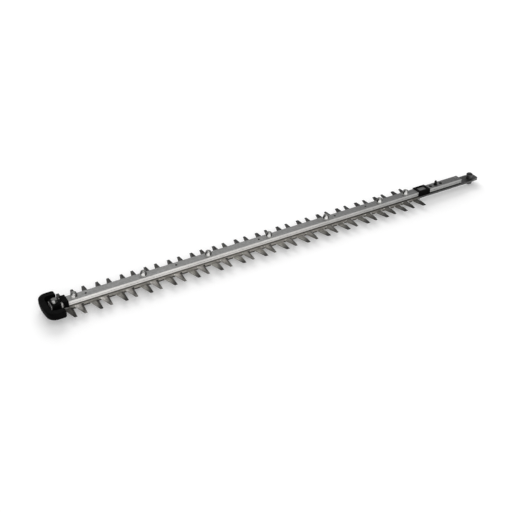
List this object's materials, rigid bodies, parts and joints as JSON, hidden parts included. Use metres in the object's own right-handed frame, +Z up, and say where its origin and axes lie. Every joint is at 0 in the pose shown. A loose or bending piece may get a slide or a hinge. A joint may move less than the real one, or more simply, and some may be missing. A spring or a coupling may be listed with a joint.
{
  "type": "hedge trimmer blade",
  "caption": "Double-sided hedge trimmer cutter: toothed upper and lower blades sliding in opposite strokes under a grooved guide bar, with a tip guard and drive pins.",
  "frame": {"origin": "on the shank's top face, on the locating stud's axis, midway between the two gear case bolt holes", "axes": "+X along the bar towards the machine, +Y across it to the left of +X, +Z up out of the bar's top face"},
  "size_m": [0.7205, 0.0598, 0.0239],
  "materials": {
    "extruded_aluminium": "satin",
    "blade_steel": "ground",
    "sleeve_steel": "turned",
    "zinc_steel": "zinc plated",
    "nylon": "moulded",
    "black_plastic": "moulded",
    "black_steel": "blackened"
  },
  "bodies": {
    "bar": {"guide_bar": "extruded_aluminium", "guide_sleeves": "sleeve_steel", "guide_bolts": "zinc_steel", "blade_washers": "zinc_steel", "nut_washers": "zinc_steel", "lock_nuts": "zinc_steel", "lock_nut_rings": "nylon", "tip_guard": "black_plastic", "guard_bolt": "zinc_steel", "guard_washer": "zinc_steel", "guard_spring_washer": "zinc_steel", "bar_clip": "black_plastic", "locating_stud": "black_steel"},
    "upper": {"upper_blade": "blade_steel", "upper_drive_pin": "black_steel"},
    "lower": {"lower_blade": "blade_steel", "lower_drive_pin": "black_steel"}
  },
  "joints": [
    {"name": "upper_slide", "type": "slide", "parent": "bar", "child": "upper", "axis": [1, 0, 0], "range_m": [-0.00875, 0.00875]},
    {"name": "lower_slide", "type": "slide", "parent": "bar", "child": "lower", "axis": [1, 0, 0], "range_m": [-0.00875, 0.00875]}
  ]
}
